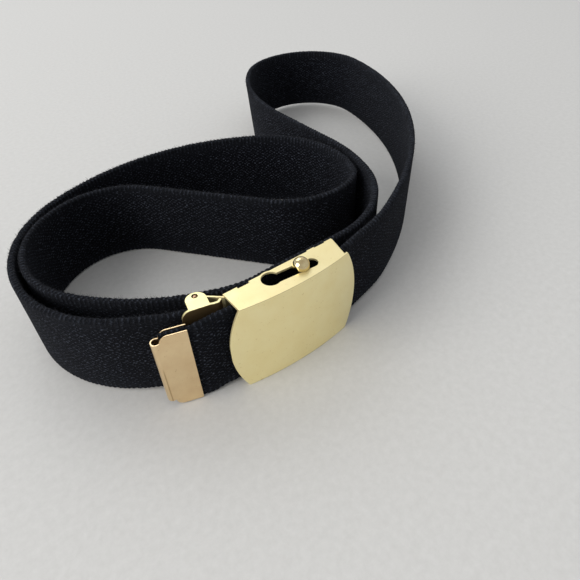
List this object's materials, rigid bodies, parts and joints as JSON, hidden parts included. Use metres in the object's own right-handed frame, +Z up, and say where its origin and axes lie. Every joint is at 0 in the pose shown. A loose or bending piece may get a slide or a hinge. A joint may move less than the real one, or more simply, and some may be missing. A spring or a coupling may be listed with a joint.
{
  "type": "canvas web belt",
  "caption": "Black canvas web belt with a brass slide buckle, pinch bar, hinged end clamp and metal tip, fastened and standing on edge in loose loops",
  "frame": {"origin": "middle of the bounding box on the underside, which the belt stands on", "axes": "+Z up, the buckle's face plate looks along -Y, and +X runs along the belt's longest extent, to the right seen from the buckle's front"},
  "size_m": [0.2256, 0.1832, 0.038],
  "materials": {
    "canvas": "black cotton canvas web, ribbed weave",
    "plate_brass": "polished, lightly brushed",
    "bar_brass": "polished",
    "tip_brass": "satin, slightly rosy"
  },
  "bodies": {
    "root": {"webbing": "canvas", "buckle_frame": "plate_brass", "pinch_bar": "bar_brass", "web_clamp": "plate_brass", "clamp_pin": "bar_brass", "tip_ferrule": "tip_brass"}
  },
  "joints": []
}
